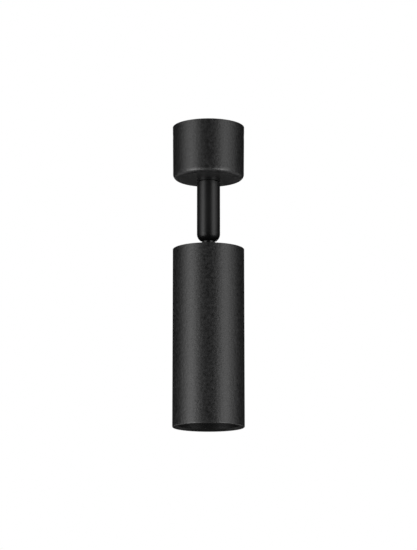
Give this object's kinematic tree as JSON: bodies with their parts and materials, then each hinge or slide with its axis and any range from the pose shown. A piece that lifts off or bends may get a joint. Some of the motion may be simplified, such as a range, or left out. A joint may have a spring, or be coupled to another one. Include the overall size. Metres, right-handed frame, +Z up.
{
  "type": "surface mounted ceiling spotlight",
  "caption": "Black ceiling spotlight: round canopy, short stem that pans, and a long cylindrical head that tilts on a ball joint and holds a reflector lamp.",
  "frame": {"origin": "centre of the ceiling plane, where the canopy's rim and the mounting strap meet the ceiling", "axes": "+Z up into the ceiling, the light hangs towards -Z; -Y is the front, and the head tilts towards +Y, where the stem has its slot"},
  "size_m": [0.0606, 0.0606, 0.2559],
  "materials": {
    "black_powder_coat": "matte black powder coat with a fine grain",
    "black_joint": "smooth matte black lacquer",
    "black_interior": "dull black inside",
    "zinc_steel": "bright zinc plate",
    "spring_steel": "oiled spring steel",
    "brass": "turned brass",
    "white_ceramic": "unglazed steatite",
    "white_plastic": "moulded lamp body",
    "grey_plastic": "moulded terminal block",
    "nylon": "natural nylon",
    "black_rubber": "soft black rubber",
    "live_insulation": "brown lead insulation",
    "neutral_insulation": "blue lead insulation",
    "earth_insulation": "green and yellow lead insulation",
    "lamp_glass": "clear lamp lens",
    "board_white": "white lamp board",
    "phosphor": "yellow phosphor"
  },
  "bodies": {
    "canopy_fixed": {"mounting_bracket": "zinc_steel", "cable_grommet": "black_rubber", "canopy": "black_powder_coat", "canopy_side_screws": "black_joint", "terminal_block": "grey_plastic", "terminal_tubes": "brass", "terminal_screws": "zinc_steel", "terminal_fixing_screws": "zinc_steel", "bracket_earth_tag": "brass", "bracket_earth_screw": "brass", "bracket_earth_lead": "earth_insulation", "pan_bush": "black_joint", "pan_lock_washer": "zinc_steel", "pan_bush_nut": "zinc_steel", "pan_stop_pin": "spring_steel", "canopy_live_lead": "live_insulation", "canopy_neutral_lead": "neutral_insulation", "canopy_earth_lead": "earth_insulation"},
    "stem": {"stem_tube": "black_joint", "stem_spindle": "zinc_steel", "stem_grub_screw": "black_joint", "pan_thrust_washer": "black_interior", "pan_friction_washer": "nylon", "pan_stop_washer": "spring_steel", "spindle_nut": "zinc_steel", "lead_sleeve": "nylon", "ball_seat": "nylon", "joint_spring": "spring_steel", "stem_live_lead": "live_insulation", "stem_neutral_lead": "neutral_insulation", "stem_earth_lead": "earth_insulation"},
    "head": {"swivel_ball": "black_joint", "head_tube": "black_powder_coat", "head_cap": "black_powder_coat", "neck_lock_washer": "zinc_steel", "neck_nut": "zinc_steel", "holder_bracket": "zinc_steel", "head_earth_tag": "brass", "head_earth_screw": "brass", "lamp_holder": "white_ceramic", "holder_cover": "white_ceramic", "holder_contacts": "brass", "holder_screws": "zinc_steel", "head_live_lead": "live_insulation", "head_neutral_lead": "neutral_insulation", "head_earth_lead": "earth_insulation"},
    "lamp": {"lamp_shell": "white_plastic", "lamp_base": "white_plastic", "lamp_pins": "zinc_steel", "lamp_board": "board_white", "lamp_leds": "phosphor", "lamp_lens": "lamp_glass"},
    "front_trim": {"front_ring": "black_interior", "ring_seal": "black_rubber"}
  },
  "joints": [
    {"name": "stem_pan", "type": "hinge", "parent": "canopy_fixed", "child": "stem", "pos_m": [0, 0, -0.0477], "axis": [0, 0, 1], "range_deg": [-170, 170]},
    {"name": "head_tilt", "type": "hinge", "parent": "stem", "child": "head", "pos_m": [0, 0, -0.092], "axis": [1, 0, 0], "range_deg": [0, 90]},
    {"name": "lamp_twist", "type": "hinge", "parent": "head", "child": "lamp", "pos_m": [0, 0, -0.2], "axis": [0, 0, 1], "range_deg": [0, 18]},
    {"name": "ring_pull", "type": "slide", "parent": "head", "child": "front_trim", "axis": [0, 0, -1], "range_m": [0, 0.013]}
  ]
}
